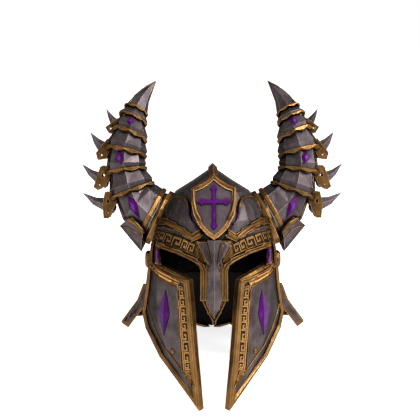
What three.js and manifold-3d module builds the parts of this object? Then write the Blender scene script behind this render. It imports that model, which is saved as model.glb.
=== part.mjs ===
// Horned helmet: a closed-face helmet of forged steel plates with cast bronze trim,
// two lamed horns with spikes held in bronze clasps, and purple enamel stones.
// Millimetres, Z up, the face looks along -Y. Left and right are as seen from the front.

import * as THREE from "three";
import ManifoldModule from "manifold-3d";

const wasm = await ManifoldModule();
wasm.setup();

// Driving dimensions

const GAP = 0.3;
const SHELL_WALL = 2.2;
const CROWN_SIDES = 32;
const SKIN_POWER_X = 0.9;
const SKIN_POWER_Y = 0.95;
const TRIM = 2.2;
const CHEEK_WALL = 2.4;
const NECK_WALL = 2;
const LAME_WALL = 1.8;
const HORN_SIDES = 8;
const BAND_SIDES = 16;

// The helmet stands pitched back on the cheek tips and the neck rim, on the plane
// z = FLOOR_AT_Y0 + y * tan(REST_PITCH) of the upright helmet.
const REST_PITCH = 11.5;
const FLOOR_AT_Y0 = -237.4;

// Crown rows: height z, half width, reach to the front, reach to the back
const CROWN = [
  [-158, 97, 118, 118],
  [-118, 97, 120, 117],
  [-80, 95.5, 120, 118],
  [-50, 91, 118, 119],
  [-30, 85, 116, 119],
  [-8, 76, 112, 117],
  [12, 67, 107, 112],
  [30, 55, 97, 103],
  [46, 29, 80, 86],
  [57, 13, 56, 62],
  [63, 4, 30, 36],
];
const SHELL_BOTTOM = -118;

// Face opening of the shell, right half: angle from the front in degrees, z
const FACE = [
  [0, -60], [9, -60], [13.4, -57], [26, -48.5], [46, -42.5], [56, -41],
  [60, -54], [78, -62], [81, -90], [82, -119], [0, -119],
];

// Brow plate: angle, z
const BROW_PLATE = [
  [72.9, 19.7], [57.2, 24.3], [45.6, 25.3], [34.2, 21.8], [28.9, 15.4], [25.4, 3.1],
  [21.2, -6.5], [16.4, -13.8], [12, -18.2], [18.3, -23.4], [27.3, -15.8], [38, -8.4],
  [57.4, -2.6], [69.8, 1], [75.3, 7.8],
];

// Brow band outline, from the emblem along the top, round the eye and back
const BAND = [
  [10.3, -24.2], [17.2, -31.5], [25.2, -23.6], [36.7, -16.8], [50.6, -11.8], [72, -13.8],
  [80, -30], [78, -50], [75, -70], [48.2, -70], [51.7, -59.3], [54.8, -45],
  [46.1, -46.1], [26.1, -52.2], [13.8, -60.9], [9.5, -67.3], [8.4, -73.8], [8.3, -112],
  [4.2, -129], [0.5, -145], [0.5, -136], [3.3, -124], [5.2, -111], [5.4, -63],
  [12.8, -35],
];
const RIDGE_LINE = [
  [74, -12.8], [50.6, -9.8], [36.7, -14.6], [25.2, -21.4], [17.2, -29], [9.6, -21.4],
];
const BEAD_LINE = [[76, -22.6], [54, -18], [36.4, -21.6], [26.6, -26.4], [16.6, -33.4]];
const EYE_LINE = [
  [6.8, -112], [6.8, -73.5], [7.9, -66], [12.6, -58.6], [25.5, -49.8], [45.9, -43.7], [58, -41.8],
];
const TEMPLE_LINE = [[66, -42], [65.5, -56], [63, -70]];
const KEY_TOP = [[67, -26.8], [46.4, -26], [25, -31.2], [13.4, -38.2]];
const KEY_BOTTOM = [[68, -39.5], [48.6, -38.2], [27, -43.8], [15.2, -51.5]];
const KEY_UNITS = 6;

// Nasal: half outline as angle, z, and the keel rows as z, half width, side lift, keel lift
const NASAL = [
  [0, -31], [12.6, -33], [5.2, -61], [5, -111], [3.1, -123.4], [0, -136],
];
const NASAL_KEEL = [
  [-60, 7, 4.6, 7.4],
  [-74, 9.8, 4.6, 9.6],
  [-111, 9.6, 4.6, 10.2],
  [-134.6, 0.8, 4.6, 6.2],
];
const NASAL_FAN = [[0, -32.5], [11.4, -34], [6.4, -52], [0, -71]];

// Emblem: right half as x, z; the face leans back with EMBLEM_SLOPE
const EMBLEM = [
  [0, 55.1], [8.6, 47.2], [18, 41], [30, 36.8], [29.6, 17.3], [26.6, 1.8], [18.6, -13.6], [9.5, -23],
];
const EMBLEM_FOOT = [0, -29.6];
const EMBLEM_Y = -130;
const EMBLEM_SLOPE = 0.38;
const EMBLEM_RIM = 5;
const EMBLEM_RAISE = 2.4;
const CROSS = [
  [0, 42.2], [4.4, 36.4], [2, 34.2], [2, 21.4], [13.6, 21.4], [16.2, 24],
  [22.3, 19.2], [16.2, 14.6], [13.6, 17], [2, 17], [2, -8.4], [4.4, -10.6],
];
const CROSS_FOOT = [0, -16.4];
const CROSS_RAISE = 2.2;

// Crest: half width, height of its edge and of its ridge above the shell
const CREST = [6.6, 0.4, 6.4];

// Cheek plate rows from the top down: outer edge, crease, middle, inner edge
const CHEEK = [
  [[91.5, -32, -72.3], [78.3, -66, -68.7], [55.2, -98, -75.7], [33, -116, -85]],
  [[95, -30, -108], [79.8, -68, -101], [53.8, -100, -98], [31.4, -117, -99]],
  [[102, -28, -147.2], [80.5, -70, -137.8], [51.2, -102, -130.6], [29, -119, -127]],
  [[96, -36, -169.8], [75.4, -76, -163], [47.8, -105, -156.2], [27.4, -120, -152.5]],
  [[73.4, -66, -204.4], [62.4, -88, -199], [41.8, -108, -194.1], [24.4, -121, -190.3]],
];
const CHEEK_TIP = [18.8, -121, -262.5];
// Rim sections: outward, lift. Zero outward is the outermost edge.
const CHEEK_RIM = [
  [-9.2, -0.4], [-9.2, 2], [-7.2, 4.2], [-2.4, 4.2], [0, 2], [0, -6.5], [-3, -6.5], [-3, -0.4],
];
const RIM_SEAT = -3.1;
const CHEEK_KEY_WIDTH = 11.2;
const CHEEK_KEY_UNITS = 11;
const CHEEK_GEM = [[67.4, -104.6], [78.6, -136.8], [70.3, -169.2], [61.3, -136.7]];

// Neck guard columns: angle and z of the top, then middle, kink and rim as x, y, z
const NECK = [
  [90, -92, [102, 1, -113], [111.6, 2, -138], [137.2, 4, -173]],
  [106, -95, [100.5, 33, -116], [109, 37, -140], [128, 41, -163]],
  [122, -99, [91, 65, -120], [98.5, 70, -145], [114, 81, -171]],
  [138, -104, [73.5, 93, -127], [80, 100, -157], [91, 110, -203]],
  [152, -110, [54, 111, -134], [59, 120, -167], [68, 122, -217]],
  [166, -115, [29.5, 122, -138], [31.5, 133, -171], [34, 139, -203.5]],
  [180, -118, [0, 125.5, -140], [0, 137, -173], [0, 143, -213]],
];
const NECK_RIM = [
  [-9, -0.4], [-9, 2], [-7, 4], [-1.6, 4], [0, 2], [0, -10.5], [-3, -10.5], [-3, -0.4],
];

// Temple boss: centre x, y, z, radius, reach outward
const BOSS = [95.4, -10, -72, 13, 5];

// Horn stations: x, y, z, radius, tilt of the section in the front view, lean to the back
const HORN = [
  [88, 5, -7.7, 40.6, 64.3, 0],
  [109.6, 6, 12, 36.6, 45, 2],
  [121.3, 7, 32.7, 33.1, 20.5, 3],
  [129.6, 9, 62.9, 29.1, 7.4, 5],
  [129.5, 12, 91, 30.5, -13.4, 8],
  [123.3, 17, 116.7, 26.5, -24.1, 12],
  [119.8, 22, 138.5, 21.8, -24, 15],
  [115.3, 26, 151.8, 18.1, -24, 17],
  [106.6, 33, 170, 11.6, -30, 19],
  [96.4, 39.5, 185.4, 6.8, -36, 20],
];
const HORN_TIP = [86, 46, 198];
const NECK_STEP = 4.2;
const COLLAR = [79.7, 5, -11.6, 43.8, 64.3, 0];
const COLLAR_HALF = 3.6;
const COLLAR_NECK = 7.9;
const COLLAR_BORE = 33;
const BAND_REACH = 2.4;
const BAND_HEIGHT = 6;
const BAND_WAVE = 1.6;

// Skirt under the horn root: along the root axis, distance from it
const SKIRT = [[-11.5, 40.4], [27, 38], [27.6, 47.4], [-22.8, 54.6], [-19.7, 43.3]];
const SKIRT_SWEEP = 58;

// Spikes: root, base and tip points, half height, half depth, droop
const SPIKES = [
  [[146.7, 5, 0.3], [162.5, 8, 9.4], [196.5, 14, 25.7], 10, 7, 3],
  [[158.6, 8, 36.8], [172.2, 11, 49.5], [197.5, 18, 69.2], 8.5, 6, 2],
  [[156, 11, 85.4], [165.8, 14, 95.7], [184.6, 22, 116.9], 9, 5.6, 1.5],
  [[144.6, 18, 124.4], [150, 20, 135], [160.8, 26, 152.6], 5.8, 4.2, 0.5],
];
// Clasps: outline and holes as x, z
const CLASPS = [
  [
    [[160.9, 28], [164.6, 9], [163.2, -11.8], [155.4, -11.8], [148, 3], [143, 16], [148, 27]],
    [[[156.5, 20], [158.8, 10], [153.4, 12.4]], [[159.4, -2], [159.2, -7.6], [155.4, -3]]],
  ],
  [
    [[163.8, 67.7], [167.9, 65], [178.2, 35], [171.4, 30.2], [159.4, 37.4], [153, 50], [154.5, 64]],
    [[[172.8, 38.6], [170.6, 34.6], [167.2, 38.8]], [[164, 59], [166.6, 49], [160.6, 51.6]]],
  ],
  [
    [[156.9, 107.6], [174.4, 86], [171.8, 75.4], [159.4, 77.6], [152, 92], [152.6, 102]],
    [[[169.4, 85], [168.6, 79.2], [164, 82.8]], [[159.6, 98], [162.8, 91], [157.6, 92.4]]],
  ],
  [
    [[142.3, 138.4], [161, 124.4], [155.4, 115.4], [149.4, 115.6], [141, 125], [137, 133]],
    [[[156, 124.6], [154.4, 119.6], [151, 123]]],
  ],
];
const CLASP_WALL = 3.4;

// Horn stones: lame they sit on and the outline as x, z
const HORN_GEMS = [
  [0, [[124.8, 22], [111.2, 14.4], [107.4, -9.6], [121.8, 4.6]]],
  [2, [[138.7, 88.2], [131.2, 80.8], [134.2, 68.9], [143.4, 77.4]]],
  [4, [[119.5, 139.9], [115.8, 132.2], [121.6, 125.7], [126.3, 132.5]]],
];
const GEM_EDGE = 1.2;
const GEM_HEIGHT = 5;

// Vectors

const deg = Math.PI / 180;
const plus = (a, b, k = 1) => [a[0] + b[0] * k, a[1] + b[1] * k, a[2] + b[2] * k];
const less = (a, b) => plus(a, b, -1);
const dot = (a, b) => a[0] * b[0] + a[1] * b[1] + a[2] * b[2];
const cross = (a, b) => [
  a[1] * b[2] - a[2] * b[1],
  a[2] * b[0] - a[0] * b[2],
  a[0] * b[1] - a[1] * b[0],
];
const unit = (a) => {
  const length = Math.hypot(...a) || 1;
  return [a[0] / length, a[1] / length, a[2] / length];
};
const mix = (a, b, t) => a.map((value, i) => value + (b[i] - value) * t);
const mirrorX = (p) => [-p[0], p[1], p[2]];

// Solids from points and faces

function solid(points, faces) {
  let volume = 0;
  for (const [a, b, c] of faces) {
    volume += dot(points[a], cross(points[b], points[c]));
  }
  const outward = volume > 0 ? faces : faces.map(([a, b, c]) => [a, c, b]);
  const mesh = new wasm.Mesh({
    numProp: 3,
    vertProperties: new Float32Array(points.flat()),
    triVerts: new Uint32Array(outward.flat()),
  });
  return new wasm.Manifold(mesh);
}

function flatFaces(ring) {
  let normal = [0, 0, 0];
  ring.forEach((p, i) => {
    normal = plus(normal, cross(p, ring[(i + 1) % ring.length]));
  });
  normal = unit(normal);
  const across = unit(Math.abs(normal[2]) < 0.9 ? cross([0, 0, 1], normal) : cross([1, 0, 0], normal));
  const along = cross(normal, across);
  const contour = ring.map((p) => new THREE.Vector2(dot(p, across), dot(p, along)));
  const faces = THREE.ShapeUtils.triangulateShape(contour, []);
  let area = 0;
  faces.forEach(([a, b, c]) => {
    const [p, q, r] = [contour[a], contour[b], contour[c]];
    area += (q.x - p.x) * (r.y - p.y) - (q.y - p.y) * (r.x - p.x);
  });
  return area > 0 ? faces : faces.map(([a, b, c]) => [a, c, b]);
}

function loft(rings, closed = false, evenHalves = false) {
  const size = rings[0].length;
  const faces = [];
  const steps = closed ? rings.length : rings.length - 1;
  for (let i = 0; i < steps; i += 1) {
    const a = i * size;
    const b = ((i + 1) % rings.length) * size;
    for (let j = 0; j < size; j += 1) {
      const k = (j + 1) % size;
      if (evenHalves && j >= size / 2) {
        faces.push([a + j, a + k, b + j], [a + k, b + k, b + j]);
      } else {
        faces.push([a + j, a + k, b + k], [a + j, b + k, b + j]);
      }
    }
  }
  if (!closed) {
    flatFaces(rings[0]).forEach(([a, b, c]) => faces.push([a, c, b]));
    const last = (rings.length - 1) * size;
    flatFaces(rings[rings.length - 1]).forEach(([a, b, c]) => faces.push([last + a, last + b, last + c]));
  }
  return solid(rings.flat(), faces);
}

function mirrored(body) {
  const mesh = body.getMesh();
  const points = [];
  const faces = [];
  for (let i = 0; i < mesh.vertProperties.length; i += mesh.numProp) {
    points.push([-mesh.vertProperties[i], mesh.vertProperties[i + 1], mesh.vertProperties[i + 2]]);
  }
  for (let i = 0; i < mesh.triVerts.length; i += 3) {
    faces.push([mesh.triVerts[i], mesh.triVerts[i + 2], mesh.triVerts[i + 1]]);
  }
  return solid(points, faces);
}

function largest(body) {
  const pieces = body.decompose();
  return pieces.reduce((best, piece) => (piece.volume() > best.volume() ? piece : best));
}

// First surface met from the front at x, z
function frontY(body, x, z) {
  const mesh = body.getMesh();
  const v = mesh.vertProperties;
  const n = mesh.numProp;
  let best = Infinity;
  for (let i = 0; i < mesh.triVerts.length; i += 3) {
    const [a, b, c] = [0, 1, 2].map((k) => {
      const at = mesh.triVerts[i + k] * n;
      return [v[at], v[at + 1], v[at + 2]];
    });
    const area = (b[0] - a[0]) * (c[2] - a[2]) - (b[2] - a[2]) * (c[0] - a[0]);
    if (Math.abs(area) < 1e-9) continue;
    const s = ((x - a[0]) * (c[2] - a[2]) - (z - a[2]) * (c[0] - a[0])) / area;
    const t = ((b[0] - a[0]) * (z - a[2]) - (b[2] - a[2]) * (x - a[0])) / area;
    if (s < -1e-6 || t < -1e-6 || s + t > 1 + 1e-6) continue;
    best = Math.min(best, a[1] + s * (b[1] - a[1]) + t * (c[1] - a[1]));
  }
  return best;
}

// Everything under the floor plane of the resting helmet
const floorZ = (y) => FLOOR_AT_Y0 + y * Math.tan(REST_PITCH * deg);
const underFloor = loft([-200, 200].map((x) => [
  [x, -300, floorZ(-300)], [x, 300, floorZ(300)], [x, 300, -500], [x, -300, -500],
]));

// Crown skin

function crownSize(z) {
  if (z <= CROWN[0][0]) return CROWN[0].slice(1);
  for (let i = 1; i < CROWN.length; i += 1) {
    if (z <= CROWN[i][0]) {
      const t = (z - CROWN[i - 1][0]) / (CROWN[i][0] - CROWN[i - 1][0]);
      return mix(CROWN[i - 1].slice(1), CROWN[i].slice(1), t);
    }
  }
  return CROWN[CROWN.length - 1].slice(1);
}

function crownPoint(angle, z) {
  const [half, front, back] = crownSize(z);
  const s = Math.sin(angle * deg);
  const c = Math.cos(angle * deg);
  const x = half * Math.sign(s) * Math.abs(s) ** SKIN_POWER_X;
  const y = (c > 0 ? -front : back) * Math.abs(c) ** SKIN_POWER_Y;
  return [x, y, z];
}

function crownNormal(angle, z) {
  if (z > 60) return [0, 0, 1];
  const around = less(crownPoint(angle + 4, z), crownPoint(angle - 4, z));
  const rise = less(crownPoint(angle, Math.min(z + 6, 63)), crownPoint(angle, z - 6));
  return unit(cross(around, rise));
}

const skinPoint = (angle, z, lift) => plus(crownPoint(angle, z), crownNormal(angle, z), lift);

const solids = new Map();
function crownSolid(lift) {
  if (!solids.has(lift)) {
    const rings = CROWN.map(([z]) => {
      const ring = [];
      for (let i = 0; i < CROWN_SIDES; i += 1) {
        ring.push(skinPoint((360 * i) / CROWN_SIDES, z, lift));
      }
      return ring;
    });
    solids.set(lift, loft(rings, false, true));
  }
  return solids.get(lift);
}

// A wedge from inside the crown out through it, bounded by an outline of angle, z
function wedge(outline, near = 0.4, far = 1.35) {
  const ring = (k) => outline.map(([angle, z]) => {
    const p = crownPoint(angle, z);
    return [p[0] * k, p[1] * k, z];
  });
  return loft([ring(near), ring(far)]);
}

const onSkin = (outline, from, to) => crownSolid(to).intersect(wedge(outline)).subtract(crownSolid(from));

// Outline on both sides of a line; one degree counts as 1.7 mm
function ribbon(line, width) {
  const points = line.map(([angle, z]) => [angle * 1.7, z]);
  const side = (sign) => points.map((p, i) => {
    const before = points[Math.max(i - 1, 0)];
    const after = points[Math.min(i + 1, points.length - 1)];
    const d1 = unit([p[0] - before[0], p[1] - before[1], 0]);
    const d2 = unit([after[0] - p[0], after[1] - p[1], 0]);
    const a = i === 0 ? d2 : d1;
    const b = i === points.length - 1 ? d1 : d2;
    const n = [-(a[1] + b[1]), a[0] + b[0]];
    const scale = (sign * width) / 2 / (1 + a[0] * b[0] + a[1] * b[1]);
    return [(p[0] + n[0] * scale) / 1.7, p[1] + n[1] * scale];
  });
  return [...side(1), ...side(-1).reverse()];
}

// A raised strip: the outline is carried onto a surface by place(across, along, lift)
function relief(outline, place, from, to) {
  return loft([
    outline.map(([a, b]) => place(a, b, from)),
    outline.map(([a, b]) => place(a, b, to)),
  ]);
}

// One meander hook as a line in a unit cell, and its strip
const KEY_PATH = [[0, 0], [0, 0.86], [0.78, 0.86], [0.78, 0.3], [0.4, 0.3], [0.4, 0.56]];
function keyStrip(path, width, height, thick) {
  const points = path.map(([a, b]) => [a * width, b * height]);
  const side = (sign) => points.map((p, i) => {
    const before = points[Math.max(i - 1, 0)];
    const after = points[Math.min(i + 1, points.length - 1)];
    const d1 = unit([p[0] - before[0], p[1] - before[1], 0]);
    const d2 = unit([after[0] - p[0], after[1] - p[1], 0]);
    const a = i === 0 ? d2 : d1;
    const b = i === points.length - 1 ? d1 : d2;
    const scale = (sign * thick) / 2 / (1 + a[0] * b[0] + a[1] * b[1]);
    return [(p[0] - (a[1] + b[1]) * scale) / width, (p[1] + (a[0] + b[0]) * scale) / height];
  });
  return [...side(1), ...side(-1).reverse()];
}

// Slabs on a grid of points, and mouldings round their edges

function gridNormals(rows) {
  return rows.map((row, r) => row.map((p, c) => {
    const up = rows[Math.max(r - 1, 0)][c];
    const down = rows[Math.min(r + 1, rows.length - 1)][c];
    const left = row[Math.max(c - 1, 0)];
    const right = row[Math.min(c + 1, row.length - 1)];
    return unit(cross(less(right, left), less(up, down)));
  }));
}

// Unit offset vectors in the surface, square to both neighbouring edges
function outwardAt(points, normals, closed) {
  const count = points.length;
  const centre = points.reduce((sum, p) => plus(sum, p, 1 / count), [0, 0, 0]);
  const vectors = points.map((p, i) => {
    const before = points[closed ? (i + count - 1) % count : Math.max(i - 1, 0)];
    const after = points[closed ? (i + 1) % count : Math.min(i + 1, count - 1)];
    const first = less(p, before);
    const second = less(after, p);
    const a = unit(cross(Math.hypot(...first) < 1e-6 ? second : first, normals[i]));
    const b = unit(cross(Math.hypot(...second) < 1e-6 ? first : second, normals[i]));
    return plus(a, b).map((value) => value / (1 + dot(a, b)));
  });
  const sign = vectors.reduce((sum, v, i) => sum + dot(v, less(points[i], centre)), 0) > 0 ? 1 : -1;
  return vectors.map((v) => v.map((value) => value * sign));
}

function moulding(points, normals, section, closed) {
  const outward = outwardAt(points, normals, closed);
  const rings = points.map((p, i) => section.map(([out, lift]) => (
    plus(plus(p, outward[i], out), normals[i], lift)
  )));
  return loft(rings, closed);
}

// Cheek plate: grid, tip and the loop of its edge

function facing(normal, p) {
  return dot(normal, [p[0], p[1], 0]) > 0 ? normal : normal.map((value) => -value);
}

const cheekNormals = gridNormals(CHEEK).map((row, r) => row.map((n, c) => facing(n, CHEEK[r][c])));
const cheekTipNormal = unit(plus(cheekNormals[4][1], cheekNormals[4][2]));
const cheekLoop = [
  ...CHEEK[0].map((p, c) => [p, cheekNormals[0][c]]),
  ...[1, 2, 3, 4].map((r) => [CHEEK[r][3], cheekNormals[r][3]]),
  [CHEEK_TIP, cheekTipNormal],
  ...[4, 3, 2, 1].map((r) => [CHEEK[r][0], cheekNormals[r][0]]),
];
const cheekEdge = cheekLoop.map(([p]) => p);
const cheekEdgeNormals = cheekLoop.map(([, n]) => n);
const cheekOutward = outwardAt(cheekEdge, cheekEdgeNormals, true);

function cheekPlate(grow = 0) {
  const seats = cheekEdge.map((p, i) => plus(p, cheekOutward[i], RIM_SEAT + grow));
  const loopIndex = [[0, 0], [0, 1], [0, 2], [0, 3], [1, 3], [2, 3], [3, 3], [4, 3]];
  const backIndex = [[4, 0], [3, 0], [2, 0], [1, 0]];
  const grid = CHEEK.map((row) => row.map((p) => [...p]));
  loopIndex.forEach(([r, c], i) => {
    grid[r][c] = seats[i];
  });
  backIndex.forEach(([r, c], i) => {
    grid[r][c] = seats[9 + i];
  });
  const face = [...grid.flat(), seats[8]];
  const normals = [...cheekNormals.flat(), cheekTipNormal];
  const front = face.map((p, i) => plus(p, normals[i], grow));
  const back = face.map((p, i) => plus(p, normals[i], -CHEEK_WALL - grow));
  const tip = front.length - 1;
  const faces = [];
  for (let r = 0; r < 4; r += 1) {
    for (let c = 0; c < 3; c += 1) {
      const a = r * 4 + c;
      faces.push([a, a + 1, a + 5], [a, a + 5, a + 4]);
    }
  }
  for (let c = 0; c < 3; c += 1) {
    faces.push([16 + c, 17 + c, tip]);
  }
  const size = front.length;
  const behind = faces.map(([a, b, c]) => [a + size, c + size, b + size]);
  const loop = [0, 1, 2, 3, 7, 11, 15, 19, tip, 16, 12, 8, 4];
  const walls = [];
  loop.forEach((a, i) => {
    const b = loop[(i + 1) % loop.length];
    walls.push([b, a, a + size], [b, a + size, b + size]);
  });
  return solid([...front, ...back], [...faces, ...behind, ...walls]);
}

// Place on the cheek beside its inner rim: across from the rim, along from 0 at the top
// to 5, which is part of the way from the last row to the tip
function cheekPlace(across, along, lift) {
  const r = Math.min(Math.floor(along), 4);
  const at = (row) => {
    const known = Math.min(row, 4);
    const corner = row < 5 ? CHEEK[row][3] : mix(CHEEK[4][3], CHEEK_TIP, 0.34);
    const edge = plus(corner, cheekOutward[known + 3], -9.2);
    const inward = unit(less(CHEEK[known][2], CHEEK[known][3]));
    return plus(plus(edge, inward, across), cheekNormals[known][3], lift);
  };
  return mix(at(r), at(r + 1), along - r);
}

function cheekRim() {
  let rim = moulding(cheekEdge, cheekEdgeNormals, CHEEK_RIM, true);
  const span = [0.5, 5];
  const strip = [];
  [span[0], 1, 2, 3, 4, 4.6, span[1]].forEach((along) => {
    strip.push([[-1, -0.5], [CHEEK_KEY_WIDTH + 1.6, -0.5], [CHEEK_KEY_WIDTH + 1.6, 2],
      [CHEEK_KEY_WIDTH, 2], [CHEEK_KEY_WIDTH, 1], [-1, 1]].map(([a, b]) => cheekPlace(a, along, b)));
  });
  rim = rim.add(loft(strip));
  const pitch = (span[1] - span[0]) / CHEEK_KEY_UNITS;
  const hook = keyStrip(KEY_PATH, CHEEK_KEY_UNITS, CHEEK_KEY_WIDTH, 1.5);
  for (let i = 0; i < CHEEK_KEY_UNITS; i += 1) {
    const from = span[0] + pitch * (i + 0.12);
    const place = (a, b, lift) => cheekPlace(0.9 + b * (CHEEK_KEY_WIDTH - 1.4), from + a * pitch, lift);
    rim = rim.add(relief(hook, place, 0.6, 1.8));
  }
  return largest(rim.subtract(cheekPlate(GAP)).subtract(underFloor));
}

// Room for the cheek rim in whatever it passes
function cheekRoom() {
  const section = [[-14, -7], [-14, 4.6], [GAP, 4.6], [GAP, -7]];
  return moulding(cheekEdge, cheekEdgeNormals, section, true);
}

// Neck guard

const neckHalf = NECK.map(([angle, z, middle, kink, rim]) => {
  const top = skinPoint(angle, z, NECK_WALL + 1.2);
  return [top, middle, kink, rim];
});
const neckColumns = [...neckHalf, ...neckHalf.slice(0, 6).reverse().map((column) => column.map(mirrorX))];
const neckRows = [0, 1, 2, 3].map((r) => neckColumns.map((column) => column[r]));
const neckNormals = gridNormals(neckRows).map((row, r) => row.map((n, c) => facing(n, neckRows[r][c])));

function neckPath() {
  const last = neckColumns.length - 1;
  const path = [];
  [1, 2, 3].forEach((r) => path.push([neckRows[r][0], neckNormals[r][0]]));
  for (let c = 1; c < last; c += 1) {
    path.push([neckRows[3][c], neckNormals[3][c]]);
  }
  [3, 2, 1].forEach((r) => path.push([neckRows[r][last], neckNormals[r][last]]));
  return path;
}
const neckEdge = neckPath();
const neckOutward = outwardAt(neckEdge.map(([p]) => p), neckEdge.map(([, n]) => n), false);

function neckGuard(grow = 0) {
  const grid = neckRows.map((row) => row.map((p) => [...p]));
  const last = neckColumns.length - 1;
  const seat = (i) => plus(neckEdge[i][0], neckOutward[i], RIM_SEAT + grow);
  grid[0][0] = plus(grid[0][0], neckOutward[0], RIM_SEAT + grow);
  grid[0][last] = plus(grid[0][last], neckOutward[neckOutward.length - 1], RIM_SEAT + grow);
  [1, 2, 3].forEach((r, i) => {
    grid[r][0] = seat(i);
    grid[r][last] = seat(neckEdge.length - 1 - i);
  });
  for (let c = 1; c < last; c += 1) {
    grid[3][c] = seat(2 + c);
  }
  const lift = (k) => grid.map((row, r) => row.map((p, c) => plus(p, neckNormals[r][c], k)));
  const outside = lift(grow);
  const inside = lift(-NECK_WALL - grow);
  const middle = neckHalf.length - 1;
  const rings = grid[0].slice(0, middle + 1).map((_, c) => [
    ...outside.map((row) => row[c]),
    ...inside.map((row) => row[c]).reverse(),
  ]);
  rings[middle] = rings[middle].map(([, y, z]) => [0, y, z]);
  const half = loft(rings, false, true);
  return half.add(mirrored(half));
}

function neckRim() {
  const rim = moulding(neckEdge.map(([p]) => p), neckEdge.map(([, n]) => n), NECK_RIM, false);
  return largest(rim.subtract(neckGuard(GAP)).subtract(crownSolid(GAP)).subtract(underFloor));
}

// Flat plates standing square to the front, outline as x, z, and y as a function of z
function plank(outline, front, back) {
  return loft([
    outline.map(([x, z]) => [x, front(z), z]),
    outline.map(([x, z]) => [x, back(z), z]),
  ]);
}

function inset(outline, by) {
  const count = outline.length;
  let area = 0;
  outline.forEach((p, i) => {
    const q = outline[(i + 1) % count];
    area += p[0] * q[1] - q[0] * p[1];
  });
  const turn = area > 0 ? 1 : -1;
  return outline.map((p, i) => {
    const before = outline[(i + count - 1) % count];
    const after = outline[(i + 1) % count];
    const a = unit([p[0] - before[0], p[1] - before[1], 0]);
    const b = unit([after[0] - p[0], after[1] - p[1], 0]);
    const scale = (turn * by) / (1 + a[0] * b[0] + a[1] * b[1]);
    return [p[0] - (a[1] + b[1]) * scale, p[1] + (a[0] + b[0]) * scale];
  });
}

const bothSides = (half, foot) => [
  half[0],
  ...half.slice(1),
  foot,
  ...half.slice(1).reverse().map(([x, z]) => [-x, z]),
];

// Horn frames and rings

function frame([x, y, z, , tilt, lean]) {
  const s = Math.sin(tilt * deg);
  const c = Math.cos(tilt * deg);
  const sl = Math.sin(lean * deg);
  const cl = Math.cos(lean * deg);
  const axis = [s * cl, sl, c * cl];
  const inner = [-c, 0, s];
  return { centre: [x, y, z], axis, inner, front: unit(cross(inner, axis)) };
}

function hornRing(station, radius, shift, sides, wave = 0) {
  const { centre, axis, inner, front } = frame(station);
  const ring = [];
  for (let i = 0; i < sides; i += 1) {
    const angle = (2 * Math.PI * i) / sides;
    const along = shift + (i % 2 === 0 ? wave : -wave);
    const p = plus(plus(centre, inner, radius * Math.cos(angle)), front, radius * Math.sin(angle));
    ring.push(plus(p, axis, along));
  }
  return ring;
}

// The outside of one lame as rings, from its flared foot to its neck
function lameRings(i, grow) {
  const foot = HORN[i];
  const stations = i === 0 ? [HORN[0], HORN[1], HORN[2]] : [HORN[i + 1], HORN[i + 2]];
  const top = stations[stations.length - 1];
  const bottom = i === 0 ? foot : stations[0];
  const spread = Math.max(grow, 0);
  const rings = [hornRing(bottom, bottom[3] + grow, (i === 0 ? -0.8 : 0) - spread, HORN_SIDES)];
  if (i === 0) {
    rings.push(hornRing(HORN[1], HORN[1][3] + grow, 0, HORN_SIDES));
  } else {
    const low = mix(bottom, top, 0.22);
    rings.push(hornRing(low, bottom[3] + 0.8 + grow, 0, HORN_SIDES));
  }
  rings.push(hornRing(top, top[3] - NECK_STEP + grow, spread - GAP, HORN_SIDES));
  return rings;
}

function lame(i) {
  return loft([...lameRings(i, 0), ...lameRings(i, -LAME_WALL).reverse()], true);
}

const lameFull = (i, grow) => loft(lameRings(i, grow));

function hornTip(grow) {
  const rings = [hornRing(HORN[7], HORN[7][3] + grow, 0, HORN_SIDES)];
  rings.push(hornRing(HORN[8], HORN[8][3] + grow, 0, HORN_SIDES));
  rings.push(hornRing(HORN[9], HORN[9][3] + grow, 0, HORN_SIDES));
  rings.push(hornRing([...HORN_TIP, 0, -36, 20], 0.5 + grow, 0, HORN_SIDES));
  return loft(rings);
}

function collar() {
  const ring = (radius, shift) => hornRing(COLLAR, radius, shift, BAND_SIDES);
  const radius = COLLAR[3];
  const rings = [
    ring(radius, -COLLAR_HALF),
    ring(radius, COLLAR_HALF),
    ring(radius - 5, COLLAR_HALF),
    ring(radius - 6.4, COLLAR_NECK),
    ring(COLLAR_BORE, COLLAR_NECK),
    ring(COLLAR_BORE, -COLLAR_HALF),
  ];
  return loft(rings, true).subtract(crownSolid(GAP));
}

const collarFull = (grow) => loft([
  hornRing(COLLAR, COLLAR[3] + grow, -COLLAR_HALF - 8, BAND_SIDES),
  hornRing(COLLAR, COLLAR[3] + grow, COLLAR_HALF + grow, BAND_SIDES),
]);

function skirt() {
  const from = HORN[0].slice(0, 3);
  const axis = unit(less(HORN[1].slice(0, 3), from));
  const outer = unit([axis[2], 0, -axis[0]]);
  const side = unit(cross(axis, outer));
  const rings = [];
  for (let i = 0; i <= 8; i += 1) {
    const angle = SKIRT_SWEEP * (i / 4 - 1);
    const fade = Math.abs(angle / SKIRT_SWEEP) ** 2;
    const radial = plus(outer.map((v) => v * Math.cos(angle * deg)), side, Math.sin(angle * deg));
    rings.push(SKIRT.map(([along, away], k) => {
      const reach = k >= 2 ? away + (SKIRT[k === 2 ? 1 : 0][1] + 1.4 - away) * fade * 0.9 : away;
      const drawn = along * (1 - (along < 0 ? 0.85 : 0.25) * fade);
      return plus(plus(from, axis, drawn), radial, reach);
    }));
  }
  let body = loft(rings);
  body = body.subtract(lameFull(0, GAP)).subtract(collarFull(GAP)).subtract(crownSolid(GAP));
  return largest(body.subtract(loft([
    hornRing(COLLAR, 38.2, 0, BAND_SIDES), hornRing(COLLAR, 38.2, 10, BAND_SIDES),
  ])));
}

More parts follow.
